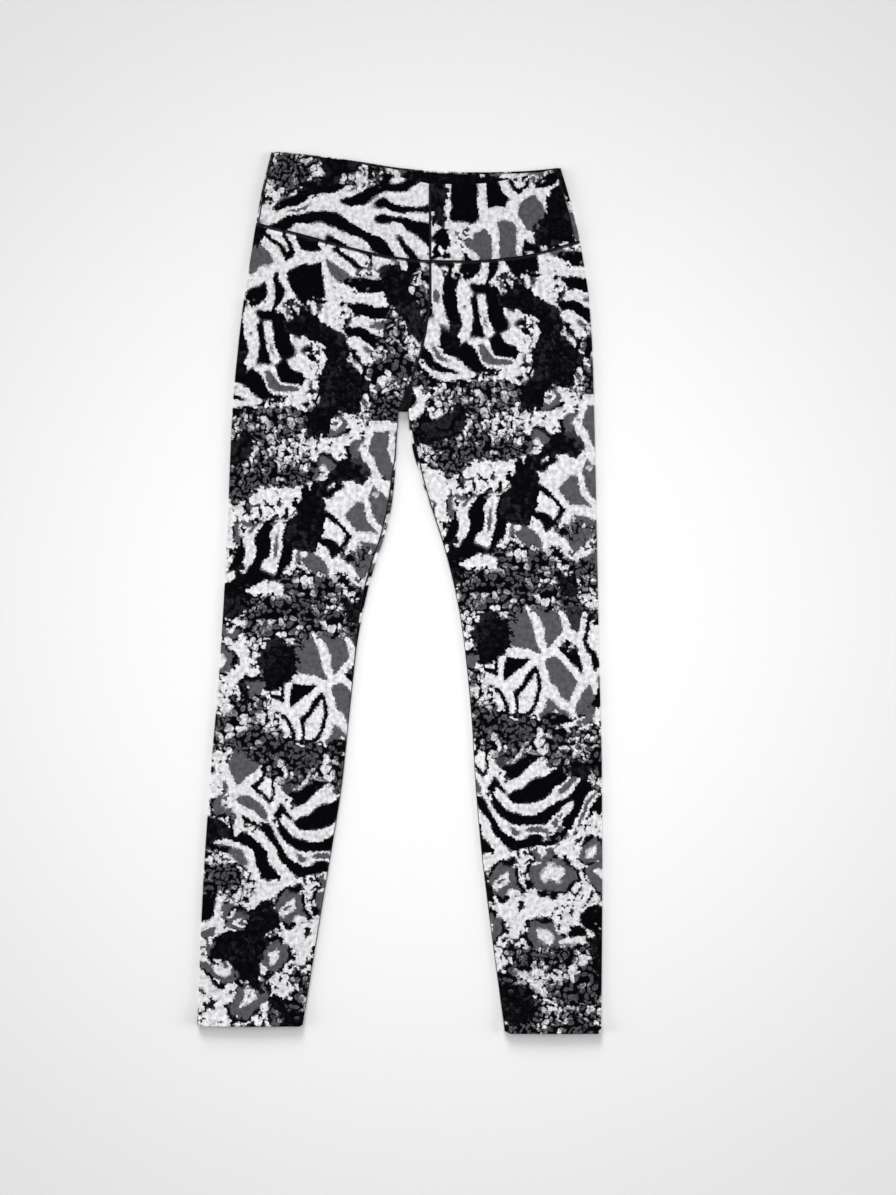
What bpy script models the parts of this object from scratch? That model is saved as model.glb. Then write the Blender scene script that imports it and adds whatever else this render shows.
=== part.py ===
"""Leggings laid flat on a surface, front up, built from their cut pieces.

Each piece of cloth is a wall of even thickness along the middle of the cloth. A leg is one
cut piece: it runs from the front's inner edge out to the side, folds under there, and comes
back along the surface, so the front layer lies on the back layer. The waistband is a front
in two halves and a back with its facing, and a small gusset is folded over the crotch.

+X is the wearer's left, +Y points to the waist and +Z up, away from the surface at z = 0.
The origin is below the middle of the garment. Tables and lengths are in millimetres, and a
"drop" is the distance below the waist's highest point.
"""

from math import cos, pi, sin

import bmesh
import bpy
from mathutils import Vector

# ---------------------------------------------------------------- driving dimensions (mm)
LENGTH = 995.8            # waist's highest point to the lower hem
CLOTH = 1.2               # a single ply of brushed jersey
BAND_FRONT = 2.0          # the front band, two plies pressed together
SEAM_GAP = 0.3            # between pieces that are sewn edge to edge, or lie on each other

CROTCH_DROP = 294.9       # where the gusset folds under
GUSSET_TIP_DROP = 262.0   # where the gusset's point starts, in the end of the centre seam
HEM_DROP = {-1: 987.6, 1: 995.8}     # right and left hems
GUSSET_TIP_WIDTH = 1.0

BACK_MIDDLE = CLOTH / 2                                   # height of the back cloth's middle
FACING_MIDDLE = BACK_MIDDLE + CLOTH + SEAM_GAP
BAND_FRONT_MIDDLE = FACING_MIDDLE + CLOTH / 2 + SEAM_GAP + BAND_FRONT / 2
BAND_TOP = BAND_FRONT_MIDDLE + BAND_FRONT / 2             # upper face of the front band

BAND_ROLL = {-1: 2.7, 1: 5.6}    # how far the back band comes round onto the front
FACING_INSET = 3.4               # facing's ends, clear of the rolled sides

PRINTED = (0.16, 0.16, 0.165)         # mean colour of the black, grey and white print
GUSSET_BLACK = (0.012, 0.012, 0.014)

# ------------------------------------------------------------------------ outline tables
# The folded sides: x of the wearer's right and left side at each drop.
SIDES = (
    # drop, right, left
    (-10.0, -142.0, 173.6),
    (17.0, -148.9, 180.9),
    (45.0, -155.7, 189.3),
    (80.0, -161.9, 198.6),
    (123.0, -168.7, 207.1),
    (168.0, -176.0, 213.6),
    (225.0, -182.8, 217.5),
    (295.0, -189.0, 219.5),
    (440.0, -195.2, 222.6),
    (575.0, -202.8, 225.2),
    (711.0, -214.1, 228.3),
    (846.0, -222.9, 228.6),
    (1000.0, -228.6, 227.2),
)

# The centre-front seam, and the centre-back one under it, down to the gusset's point.
CENTRE_SEAM = (
    # drop, x
    (60.0, 34.2),
    (160.0, 34.6),
    (193.0, 30.8),
    (224.0, 24.6),
    (256.5, 13.9),
)

# The legs' inner edges, from the gusset's point down to the hems.
INNER_EDGES = (
    # drop, right leg, left leg
    (256.5, 13.9, 13.9),
    (276.0, 5.7, 13.4),
    (295.0, -0.8, 9.3),
    (327.0, -2.8, 12.7),
    (360.0, -4.8, 21.0),
    (394.0, -8.2, 32.0),
    (428.0, -15.2, 43.9),
    (462.0, -26.2, 54.0),
    (496.0, -36.2, 62.2),
    (545.0, -45.8, 71.0),
    (643.0, -57.3, 80.9),
    (711.0, -64.4, 85.0),
    (779.0, -74.9, 90.7),
    (846.0, -86.2, 98.5),
    (1000.0, -111.4, 119.0),
)

# The waist seam between band and legs, the same on the front and the back.
WAIST_SEAM = (
    # x, drop
    (-190.0, 71.0),
    (-168.0, 79.0),
    (-110.0, 94.0),
    (-53.0, 109.4),
    (-21.0, 116.8),
    (34.0, 123.4),
    (76.0, 123.8),
    (130.0, 119.6),
    (206.0, 100.4),
    (230.0, 93.5),
)

# The band's upper edges. The front dips below the back between the sides.
BAND_TOP_EDGES = (
    # x, back drop, front drop
    (-160.0, -1.5, 0.4),
    (-144.0, 0.0, 1.8),
    (-90.0, 5.6, 7.0),
    (-45.0, 11.9, 14.6),
    (0.0, 19.0, 30.0),
    (45.0, 22.9, 37.9),
    (90.0, 24.0, 37.3),
    (136.0, 22.9, 30.0),
    (170.0, 20.0, 21.8),
    (195.0, 15.0, 16.4),
)
BACK_EDGE, FRONT_EDGE = 1, 2      # columns of that table

# How the front layer lies on the back layer, from the waist seam (0) by way of the crotch
# (1) to the hem (2): the middle of its cloth at the side folds, and its rise between them.
LAY = (
    # station, fold height, crown
    (0.00, BAND_FRONT_MIDDLE, 0.0),
    (0.35, 3.4, 0.4),
    (1.00, 2.9, 1.3),
    (1.15, 2.8, 1.5),
    (1.50, 2.7, 1.0),
    (1.80, 2.7, 1.3),
    (2.00, 3.0, 0.8),
)

# Stations that the legs' sections stand at: close together where the cloth turns quickly.
LEG_STATIONS = (
    0.0, 0.12, 0.26, 0.42, 0.58, 0.70, 0.79, 0.85, 0.89, 0.93, 0.97,
    1.0, 1.008, 1.025, 1.05, 1.09, 1.14, 1.19, 1.24, 1.29, 1.35,
    1.42, 1.50, 1.58, 1.66, 1.74, 1.82, 1.90, 1.96, 2.0,
)
CURL_START, CURL_END = 0.985, 1.012    # the inner edges turn to meet in the inseam here

SETTLING_ROUNDS = 6    # a point's x and drop depend on each other, and settle in a few

BAND_ROWS = 6
FLAT_POINTS = 7        # across one layer of a leg
FOLD_STEPS = 6         # round a folded side
CURL_STEPS = 3         # round half of an inseam edge
ROLL_STEPS = 7         # round one end of the back band
ROLL_ROUND_SHARE = 0.8 # of those steps; the rest are level, on the front
GUSSET_ROWS = 7        # along one face of the gusset
GUSSET_COLUMNS = 4     # across the gusset
SHARP = pi / 5         # edges that turn by more than this are shaded sharp


# --------------------------------------------------------------------------- small tools
def smooth(table, column, at):
    """Read a table's column at a place between its rows, without kinks or overshoot."""
    if at <= table[0][0]:
        return table[0][column]
    for index, (low, high) in enumerate(zip(table, table[1:])):
        if at <= high[0]:
            before = table[max(index - 1, 0)]
            after = table[min(index + 2, len(table) - 1)]
            span = high[0] - low[0]
            rise = high[column] - low[column]
            start = limited_slope(before, low, high, column)
            end = limited_slope(low, high, after, column)
            t = (at - low[0]) / span
            bend = t * (1 - t) * ((start * span - rise) * (1 - t) - (end * span - rise) * t)
            return low[column] + rise * t + bend
    return table[-1][column]


def limited_slope(before, here, after, column):
    """The slope at a row: none at a peak, and a mean that favours the gentler side."""
    slopes = []
    for a, b in ((before, here), (here, after)):
        if b[0] > a[0]:
            slopes.append((b[column] - a[column]) / (b[0] - a[0]))
    if len(slopes) == 1:
        return slopes[0]
    if slopes[0] * slopes[1] <= 0:
        return 0.0
    return 2 * slopes[0] * slopes[1] / (slopes[0] + slopes[1])


def side_x(side, drop):
    return smooth(SIDES, 1 if side < 0 else 2, drop)


def inner_x(side, drop):
    if drop < INNER_EDGES[0][0]:
        return smooth(CENTRE_SEAM, 1, drop)
    return smooth(INNER_EDGES, 1 if side < 0 else 2, drop)


def centre(side):
    """The edge of a band's half at the centre seam, as a function of the drop."""
    return lambda drop: inner_x(side, drop) + side * SEAM_GAP / 2


def waist_seam_drop(x):
    return smooth(WAIST_SEAM, 1, x)


def place(x, drop, height):
    """A point of the garment, from millimetres and a drop to metres."""
    return Vector((x, LENGTH / 2 - drop, height)) / 1000


def cloth_wall(name, rows, thickness, colour):
    """Make a wall of cloth on rows of (point, normal) pairs along the cloth's middle."""
    half = thickness / 2000
    columns = len(rows[0])
    bm = bmesh.new()
    faces = {}
    for sheet, reach in (("outer", half), ("inner", -half)):
        faces[sheet] = [[bm.verts.new(point + normal * reach) for point, normal in row]
                        for row in rows]
    outer, inner = faces["outer"], faces["inner"]
    for r in range(len(rows) - 1):
        for c in range(columns - 1):
            for grid in (outer, inner):
                bm.faces.new((grid[r][c], grid[r][c + 1], grid[r + 1][c + 1], grid[r + 1][c]))
        for c in (0, columns - 1):
            bm.faces.new((outer[r][c], outer[r + 1][c], inner[r + 1][c], inner[r][c]))
    for c in range(columns - 1):
        for r in (0, len(rows) - 1):
            bm.faces.new((outer[r][c], outer[r][c + 1], inner[r][c + 1], inner[r][c]))
    bmesh.ops.recalc_face_normals(bm, faces=bm.faces)
    mesh = bpy.data.meshes.new(name)
    bm.to_mesh(mesh)
    bm.free()
    mesh.shade_smooth()
    mesh.set_sharp_from_angle(angle=SHARP)
    mesh.materials.append(cloth_material(name, colour))
    piece = bpy.data.objects.new(name, mesh)
    bpy.context.collection.objects.link(piece)
    return piece


def cloth_material(name, colour):
    material = bpy.data.materials.new(name)
    material.use_nodes = True
    shader = material.node_tree.nodes["Principled BSDF"]
    shader.inputs["Base Color"].default_value = (*colour, 1.0)
    shader.inputs["Roughness"].default_value = 0.9
    shader.inputs["Metallic"].default_value = 0.0
    return material


def turned(angle):
    """The unit normal at an angle from straight up, towards +X."""
    return Vector((sin(angle), 0.0, cos(angle)))


# ---------------------------------------------------------------------------------- legs
def leg_drop(side, station, x):
    """Drop of a leg's section at x: the top ones follow the waist seam."""
    if station <= 1:
        top = waist_seam_drop(x) + SEAM_GAP
        return top + (CROTCH_DROP - top) * station
    return CROTCH_DROP + (HEM_DROP[side] - CROTCH_DROP) * (station - 1)


def leg_point(side, station, kind, amount):
    """One point of a leg's section and its normal.

    "front" and "back" run across a layer, 0 at the inner edge and 1 at the side fold.
    "fold" goes round the side from front to back, and "front_curl" and "back_curl" run
    round the inner edge, 0 at the layer and 1 at the seam.
    """
    fold_height = smooth(LAY, 1, station)
    crown = smooth(LAY, 2, station)
    radius = (fold_height - BACK_MIDDLE) / 2
    centre_height = (fold_height + BACK_MIDDLE) / 2
    turn = pi / 2 * min(max((station - CURL_START) / (CURL_END - CURL_START), 0.0), 1.0)
    curl_length = (radius - SEAM_GAP / 2) * pi / 2
    reach = curl_length * (sin(turn) / turn if turn else 1.0)

    drop = leg_drop(side, station, side_x(side, 200.0) / 2)
    for _ in range(SETTLING_ROUNDS):
        edge = inner_x(side, drop) + side * (SEAM_GAP / 2 + CLOTH / 2 * sin(turn))
        flat_in = edge + side * reach
        flat_out = side_x(side, drop) - side * (CLOTH / 2 + radius)
        if kind in ("front", "back"):
            x = flat_in + (flat_out - flat_in) * amount
            height = BACK_MIDDLE
            if kind == "front":
                height = fold_height + crown * sin(pi * amount)
            normal = turned(0.0 if kind == "front" else pi)
        elif kind == "fold":
            angle = side * pi * amount
            x = flat_out + radius * sin(angle)
            height = centre_height + radius * cos(angle)
            normal = turned(angle)
        else:
            angle = turn * amount
            along = curl_length * amount
            x = flat_in - side * (sin(angle) / angle * along if angle else along)
            fall = (1 - cos(angle)) / angle * along if angle else 0.0
            height = fold_height - fall if kind == "front_curl" else BACK_MIDDLE + fall
            normal = turned(-side * angle if kind == "front_curl" else pi + side * angle)
        drop = leg_drop(side, station, x)
    return place(x, drop, height), normal


def leg_section():
    """The named places that every section of a leg has, from inseam to inseam."""
    section = [("front_curl", 1 - step / CURL_STEPS) for step in range(CURL_STEPS)]
    section += [("front", step / (FLAT_POINTS - 1)) for step in range(FLAT_POINTS)]
    section += [("fold", step / FOLD_STEPS) for step in range(1, FOLD_STEPS)]
    section += [("back", 1 - step / (FLAT_POINTS - 1)) for step in range(FLAT_POINTS)]
    section += [("back_curl", (step + 1) / CURL_STEPS) for step in range(CURL_STEPS)]
    return section


def make_leg(name, side):
    rows = [[leg_point(side, station, kind, amount) for kind, amount in leg_section()]
            for station in LEG_STATIONS]
    return cloth_wall(name, rows, CLOTH, PRINTED)


# ------------------------------------------------------------------------------ waistband
def band_drop(row, x, edge_column):
    """Drop of a band's row at x, from its upper edge down to the waist seam."""
    top = smooth(BAND_TOP_EDGES, edge_column, x)
    return top + (waist_seam_drop(x) - top) * row / (BAND_ROWS - 1)


def between(low, high, amount, height, normal):
    """A place on a level stretch of band, as a function of the drop."""
    def at(drop):
        return low(drop) + (high(drop) - low(drop)) * amount, height, normal
    return at


def level(edges, height, normal):
    """The places of a level stretch through a chain of edges, spaced as a leg's are."""
    places = [between(edges[0], edges[0], 0.0, height, normal)]
    for low, high in zip(edges, edges[1:]):
        for step in range(1, FLAT_POINTS):
            places.append(between(low, high, step / (FLAT_POINTS - 1), height, normal))
    return places


def roll(side, amount):
    """A place on the back band's rolled end: 0 on the surface, 1 at the side seam."""
    top = BAND_TOP - CLOTH / 2
    radius = (top - BACK_MIDDLE) / 2

    def at(drop):
        outermost = side_x(side, drop) - side * CLOTH / 2
        if amount <= ROLL_ROUND_SHARE:
            angle = pi * amount / ROLL_ROUND_SHARE
            x = outermost - side * radius * (1 - sin(angle))
            return x, BACK_MIDDLE + radius * (1 - cos(angle)), turned(pi - side * angle)
        rest = (amount - ROLL_ROUND_SHARE) / (1 - ROLL_ROUND_SHARE)
        x = outermost - side * (radius + rest * (BAND_ROLL[side] - radius - CLOTH / 2))
        return x, top, turned(0.0)
    return at


def make_band(name, places, edge_column, thickness):
    """A band whose points stand at the given places, from its upper edge to the seam."""
    rows = []
    for row in range(BAND_ROWS):
        points = []
        for at in places:
            x = 0.0
            for _ in range(SETTLING_ROUNDS):
                x, height, normal = at(band_drop(row, x, edge_column))
            points.append((place(x, band_drop(row, x, edge_column), height), normal))
        rows.append(points)
    return cloth_wall(name, rows, thickness, PRINTED)


def make_waistband():
    def seam_side(side):
        """Where a front half ends, just short of the back band's rolled end."""
        return lambda drop: side_x(side, drop) - side * (BAND_ROLL[side] + SEAM_GAP)

    def facing_side(side):
        return lambda drop: side_x(side, drop) - side * FACING_INSET

    def roll_foot(side):
        return lambda drop: roll(side, 0.0)(drop)[0]

    up, down = turned(0.0), turned(pi)
    make_band("waistband_front_right",
              level((seam_side(-1), centre(-1)), BAND_FRONT_MIDDLE, up),
              FRONT_EDGE, BAND_FRONT)
    make_band("waistband_front_left",
              level((centre(1), seam_side(1)), BAND_FRONT_MIDDLE, up),
              FRONT_EDGE, BAND_FRONT)
    make_band("waistband_back_facing",
              level((facing_side(-1), centre(1), facing_side(1)), FACING_MIDDLE, up),
              BACK_EDGE, CLOTH)
    rolls = {side: [roll(side, (step + 1) / ROLL_STEPS) for step in range(ROLL_STEPS)]
             for side in (-1, 1)}
    flat = level((roll_foot(-1), centre(1), roll_foot(1)), BACK_MIDDLE, down)
    make_band("waistband_back", rolls[-1][::-1] + flat + rolls[1], BACK_EDGE, CLOTH)


# --------------------------------------------------------------------------------- gusset
def make_gusset(name):
    """A narrow diamond, folded under at the crotch line."""
    fold_height = smooth(LAY, 1, 1.0)
    radius = (fold_height - BACK_MIDDLE) / 2
    lowest = CROTCH_DROP - CLOTH / 2
    straight = lowest - radius
    course = []
    for step in range(GUSSET_ROWS):
        drop = GUSSET_TIP_DROP + (straight - GUSSET_TIP_DROP) * step / (GUSSET_ROWS - 1)
        course.append((drop, fold_height, Vector((0, 0, 1))))
    for step in range(1, FOLD_STEPS):
        angle = pi * step / FOLD_STEPS
        height = (fold_height + BACK_MIDDLE) / 2 + radius * cos(angle)
        course.append((straight + radius * sin(angle), height,
                       Vector((0, -sin(angle), cos(angle)))))
    for drop, height, normal in reversed(course[:GUSSET_ROWS]):
        course.append((drop, BACK_MIDDLE, -normal))
    rows = []
    for drop, height, normal in course:
        low = inner_x(-1, drop) + SEAM_GAP
        high = inner_x(1, drop) - SEAM_GAP
        middle, width = (low + high) / 2, max(high - low, GUSSET_TIP_WIDTH)
        across = [middle + width * (column / GUSSET_COLUMNS - 0.5)
                  for column in range(GUSSET_COLUMNS + 1)]
        rows.append([(place(x, drop, height), normal) for x in across])
    return cloth_wall(name, rows, CLOTH, GUSSET_BLACK)


# ------------------------------------------------------------------------------ the build
def main():
    for old in list(bpy.data.objects):
        bpy.data.objects.remove(old, do_unlink=True)

    make_leg("leg_right", -1)
    make_leg("leg_left", 1)
    make_waistband()
    make_gusset("gusset")


main()
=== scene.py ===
# %% [markdown]
# # A pair of printed leggings, laid flat
# The garment lies on its back on a pale table and is seen from straight above. It is a
# good subject for learning cloth without a simulation: every piece is a thin shell around
# the *middle surface* of its cloth, and that surface is worked out from the garment's
# outline. +X is the wearer's left, +Y points to the waist, +Z comes up from the table.
#
# The script first loads a fixed frame of plain solids. It gives the size and the place of
# each piece, and every piece made below stands for one of its nodes.

from collections import namedtuple
from math import pi, radians

import bpy
import numpy as np
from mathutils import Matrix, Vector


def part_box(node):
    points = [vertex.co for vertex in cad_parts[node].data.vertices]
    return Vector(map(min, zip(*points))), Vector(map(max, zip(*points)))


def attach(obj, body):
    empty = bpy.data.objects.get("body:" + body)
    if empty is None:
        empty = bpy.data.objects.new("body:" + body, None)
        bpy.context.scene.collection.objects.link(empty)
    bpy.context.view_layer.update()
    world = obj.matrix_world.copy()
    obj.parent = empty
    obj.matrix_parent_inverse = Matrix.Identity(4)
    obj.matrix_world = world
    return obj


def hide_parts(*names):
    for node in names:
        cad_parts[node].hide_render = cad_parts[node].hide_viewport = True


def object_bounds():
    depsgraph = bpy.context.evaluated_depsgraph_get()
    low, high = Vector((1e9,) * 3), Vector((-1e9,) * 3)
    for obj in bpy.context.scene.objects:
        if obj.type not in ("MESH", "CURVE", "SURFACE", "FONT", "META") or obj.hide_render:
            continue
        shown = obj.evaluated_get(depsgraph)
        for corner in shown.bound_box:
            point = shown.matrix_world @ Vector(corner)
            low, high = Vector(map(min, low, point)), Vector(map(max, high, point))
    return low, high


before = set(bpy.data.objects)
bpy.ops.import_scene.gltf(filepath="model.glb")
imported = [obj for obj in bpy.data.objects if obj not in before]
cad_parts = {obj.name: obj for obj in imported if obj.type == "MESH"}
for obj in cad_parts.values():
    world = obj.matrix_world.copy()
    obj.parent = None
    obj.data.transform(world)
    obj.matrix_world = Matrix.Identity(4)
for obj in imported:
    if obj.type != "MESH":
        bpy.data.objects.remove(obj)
CAD_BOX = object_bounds()
print("nodes:", sorted(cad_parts))
print("box in mm:", [[round(c * 1000, 1) for c in corner] for corner in CAD_BOX])

# %% [markdown]
# ## Camera
# The camera looks straight down through a longish lens, so that the garment's sides stay
# parallel. The view is taller than wide, and the sensor's long side lies along Y. The
# distance follows from the length of table that the view takes in. The garment lies left
# of the view's middle, so the camera stands to its right.

# %% Camera
VIEW_HEIGHT = 1.350               # metres of table from the view's top to its bottom
VIEW_MIDDLE = (0.0545, -0.0062)
LENS, SENSOR = 70.0, 36.0         # millimetres


def add_object(name, data):
    made = bpy.data.objects.new(name, data)
    bpy.context.collection.objects.link(made)
    return made


camera_data = bpy.data.cameras.new("overhead")
camera_data.lens, camera_data.sensor_width = LENS, SENSOR
camera = add_object("overhead", camera_data)
camera.location = (*VIEW_MIDDLE, VIEW_HEIGHT * LENS / SENSOR)
bpy.context.scene.camera = camera
print("camera height:", round(camera.location.z, 3), "m")

# %% [markdown]
# ## The outline as short tables
# A cutter writes a garment down as widths at a few heights. These tables do the same in
# millimetres: a *drop* is the distance below the waist's highest point.

# %% The outline's tables, in millimetres
SIDES = (
    # drop, right side, left side
    (-10.0, -142.0, 173.6),
    (17.0, -148.9, 180.9),
    (45.0, -155.7, 189.3),
    (80.0, -161.9, 198.6),
    (123.0, -168.7, 207.1),
    (168.0, -176.0, 213.6),
    (225.0, -182.8, 217.5),
    (295.0, -189.0, 219.5),
    (440.0, -195.2, 222.6),
    (575.0, -202.8, 225.2),
    (711.0, -214.1, 228.3),
    (846.0, -222.9, 228.6),
    (1000.0, -228.6, 227.2),
)
CENTRE_SEAM = (
    # drop, x
    (60.0, 34.2),
    (160.0, 34.6),
    (193.0, 30.8),
    (224.0, 24.6),
    (256.5, 13.9),
)
INNER_EDGES = (
    # drop, right leg, left leg
    (256.5, 13.9, 13.9),
    (276.0, 5.7, 13.4),
    (295.0, -0.8, 9.3),
    (327.0, -2.8, 12.7),
    (360.0, -4.8, 21.0),
    (394.0, -8.2, 32.0),
    (428.0, -15.2, 43.9),
    (462.0, -26.2, 54.0),
    (496.0, -36.2, 62.2),
    (545.0, -45.8, 71.0),
    (643.0, -57.3, 80.9),
    (711.0, -64.4, 85.0),
    (779.0, -74.9, 90.7),
    (846.0, -86.2, 98.5),
    (1000.0, -111.4, 119.0),
)
WAIST_SEAM = (
    # x, drop
    (-190.0, 71.0),
    (-168.0, 79.0),
    (-110.0, 94.0),
    (-53.0, 109.4),
    (-21.0, 116.8),
    (34.0, 123.4),
    (76.0, 123.8),
    (130.0, 119.6),
    (206.0, 100.4),
    (230.0, 93.5),
)
BAND_TOP_EDGES = (
    # x, back drop, front drop
    (-160.0, -1.5, 0.4),
    (-144.0, 0.0, 1.8),
    (-90.0, 5.6, 7.0),
    (-45.0, 11.9, 14.6),
    (0.0, 19.0, 30.0),
    (45.0, 22.9, 37.9),
    (90.0, 24.0, 37.3),
    (136.0, 22.9, 30.0),
    (170.0, 20.0, 21.8),
    (195.0, 15.0, 16.4),
)
print("rows:", len(SIDES), "for the sides,", len(INNER_EDGES), "for the inner edges")

# %% [markdown]
# `curve` turns a table's column into a smooth function that never swings past its rows,
# which keeps hems and sides calm where a plain spline would ripple. Two more tables need
# it later, for the heights of the layers and for the inseams.

# %% Tables as smooth functions
RIGHT, LEFT = -1, 1               # the wearer's sides, as the sign of X


def curve(table, column):
    """A smooth function through a table's column, with no swing past its rows."""
    at = np.array([row[0] for row in table])
    value = np.array([row[column] for row in table])
    slope = np.diff(value) / np.diff(at)
    product, total = slope[:-1] * slope[1:], slope[:-1] + slope[1:]
    calm = np.where(product > 0, 2 * product / np.where(product > 0, total, 1.0), 0.0)
    tangent = np.concatenate(([slope[0]], calm, [slope[-1]]))

    def read(place):
        place = np.clip(place, at[0], at[-1])
        i = np.clip(np.searchsorted(at, place, side="right") - 1, 0, len(at) - 2)
        span, rise = at[i + 1] - at[i], value[i + 1] - value[i]
        t = (place - at[i]) / span
        start, end = tangent[i] * span - rise, tangent[i + 1] * span - rise
        return value[i] + rise * t + t * (1 - t) * (start * (1 - t) - end * t)
    return read


side_edge = {RIGHT: curve(SIDES, 1), LEFT: curve(SIDES, 2)}
leg_edge = {RIGHT: curve(INNER_EDGES, 1), LEFT: curve(INNER_EDGES, 2)}
centre_edge = curve(CENTRE_SEAM, 1)
waist_seam = curve(WAIST_SEAM, 1)
band_top = {"back": curve(BAND_TOP_EDGES, 1), "front": curve(BAND_TOP_EDGES, 2)}


def inner_edge(side, drop):
    """The centre seam down to the gusset's point, and the leg's inner edge below it."""
    return np.where(drop < INNER_EDGES[0][0], centre_edge(drop), leg_edge[side](drop))


print("hips:", round(float(side_edge[LEFT](200.0) - side_edge[RIGHT](200.0))), "mm across")

# %% [markdown]
# ## Heights of the layers
# From the table upwards: the back's cloth, the facing inside the back waistband, then the
# front band, which is two plies pressed together. The heights come from the frame. Below
# the waistband the front layer sinks onto the back layer within a hand's breadth, and at
# the side folds the cloth's own stiffness keeps a small round edge.

# %% Heights, read from the frame
CLOTH = 1.2                       # one ply of brushed jersey
TOP = CAD_BOX[1].y * 1000         # Y of the waist's highest point


def node_heights(node):
    low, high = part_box(node)
    return low.z * 1000, high.z * 1000


def hem_drop(node):
    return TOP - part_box(node)[0].y * 1000


BAND_LOW, BAND_HIGH = node_heights("waistband_front_right")
BAND_MIDDLE, BAND_PLIES = (BAND_LOW + BAND_HIGH) / 2, BAND_HIGH - BAND_LOW
BACK_MIDDLE = CLOTH / 2
FACING_MIDDLE = sum(node_heights("waistband_back_facing")) / 2
HEM = {RIGHT: hem_drop("leg_right"), LEFT: hem_drop("leg_left")}
CROTCH = 294.9                    # drop of the crotch line
print("band middle", BAND_MIDDLE, "facing", FACING_MIDDLE, "hems", HEM)

LAY = (
    # station, height of the front's cloth at the side fold, rise between the folds
    (0.00, BAND_MIDDLE - 1.6, 0.0),
    (0.04, 3.2, 0.1),
    (0.35, 3.3, 0.5),
    (1.00, 3.1, 1.3),
    (1.15, 2.9, 1.6),
    (1.50, 2.8, 1.1),
    (1.80, 2.9, 1.4),
    (1.95, 3.2, 1.2),
    (2.00, 4.4, 0.9),
)
fold_height, crown = curve(LAY, 1), curve(LAY, 2)
PUFF = 1.25                       # how much higher the layers lie at the crotch
PUFF_AT, PUFF_REACH = (5.0, CROTCH - 4.0), (27.0, 40.0)    # across and down


def puffed(height, x, drop):
    """Heights of a layer, raised round the crotch, where the seams make the cloth stiff."""
    across, down = (x - PUFF_AT[0]) / PUFF_REACH[0], (drop - PUFF_AT[1]) / PUFF_REACH[1]
    return BACK_MIDDLE + (height - BACK_MIDDLE) * (1 + PUFF * np.exp(-across ** 2 - down ** 2))


# %% [markdown]
# ## A shell around the middle of the cloth
# Each piece is a grid of points along the middle of its cloth, in rows from the waist
# down and columns across. First come a few tools for such grids: their normals, their
# size on the flat cloth, and the rows that round off a rim.

# %% Tools for grids
RIM_STEPS = 5


def unit(vectors):
    return vectors / np.maximum(np.linalg.norm(vectors, axis=-1, keepdims=True), 1e-12)


def grid_normals(points, outward):
    """Normals of a grid, on the side that `outward` points to on most of its first third."""
    normals = unit(np.cross(np.gradient(points, axis=1), np.gradient(points, axis=0)))
    sample = normals[:, : normals.shape[1] // 3] if outward[2] > 0 else normals
    return normals if np.sum(sample @ np.array(outward, dtype=float)) > 0 else -normals


def cut_size(flat):
    """Width, length and area of a grid on the flat cloth, in metres."""
    width, length = np.ptp(flat.reshape(-1, 2), axis=0) / 1000
    across, down = np.diff(flat, axis=1)[:-1], np.diff(flat, axis=0)[:, :-1]
    patches = across[..., 0] * down[..., 1] - across[..., 1] * down[..., 0]
    return float(width), float(length), float(abs(patches.sum())) / 1e6


def rim_rows(outer, inner, out, roundness):
    """Rows round a rim, from its outer edge to its inner one."""
    centre, spoke = (outer + inner) / 2, (outer - inner) / 2
    reach = unit(out) * np.linalg.norm(spoke, axis=-1, keepdims=True) * roundness
    angles = [pi * step / RIM_STEPS for step in range(1, RIM_STEPS)]
    return np.stack([centre + spoke * np.cos(a) + reach * np.sin(a) for a in angles])


def face_outwards(mesh):
    """Turn a closed mesh inside out if its volume is negative."""
    mesh.calc_loop_triangles()
    corners = np.empty(len(mesh.loop_triangles) * 3, dtype=np.int32)
    mesh.loop_triangles.foreach_get("vertices", corners)
    places = np.empty(len(mesh.vertices) * 3)
    mesh.vertices.foreach_get("co", places)
    a, b, c = places.reshape(-1, 3)[corners.reshape(-1, 3)].transpose(1, 0, 2)
    if np.sum(a * np.cross(b, c)) < 0:
        mesh.flip_normals()


print("a rim has", RIM_STEPS - 1, "rows between the two faces of the cloth")

# %% [markdown]
# A shell's mesh is one loop of rows, down the outer face and up the inner one, with a cap
# at each side. The first and last rows of both faces are joined by the rim's rows.

# %% Faces of a shell
def shell_faces(rows, columns, rim_count):
    """Faces of a closed shell: a loop of rows round the cloth, and a cap at each side."""
    count = 2 * (rows + rim_count)
    index = np.arange(count * columns).reshape(count, columns)
    below = np.roll(index, -1, axis=0)
    quads = np.stack((index[:, :-1], index[:, 1:], below[:, 1:], below[:, :-1]), axis=-1)
    faces = quads.reshape(-1, 4).tolist()
    inner_end = rows + rim_count          # the inner face's row at the last edge
    inner_start = inner_end + rows - 1    # and at the first edge
    for column, turn in ((0, 1), (columns - 1, -1)):
        for r in range(rows - 1):
            opposite = inner_start - r
            cap = (index[r], index[r + 1], index[opposite - 1], index[opposite])
            faces.append([int(row[column]) for row in cap][::turn])
        for around in (range(rows - 1, inner_end + 1), range(inner_start, count + 1)):
            faces.append([int(index[r % count, column]) for r in around][::turn])
    return faces


print("the smallest shell has", len(shell_faces(2, 2, RIM_STEPS - 1)), "faces")

# %% [markdown]
# `cloth_shell` moves the grid's points out and in by half the thickness and closes the
# rims. A folded edge gets a full round rim, a sewn edge is only slightly rounded. The UV
# map is the flat cloth itself in metres, so a print and a knit follow the cloth round
# every fold at their true size.

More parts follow.
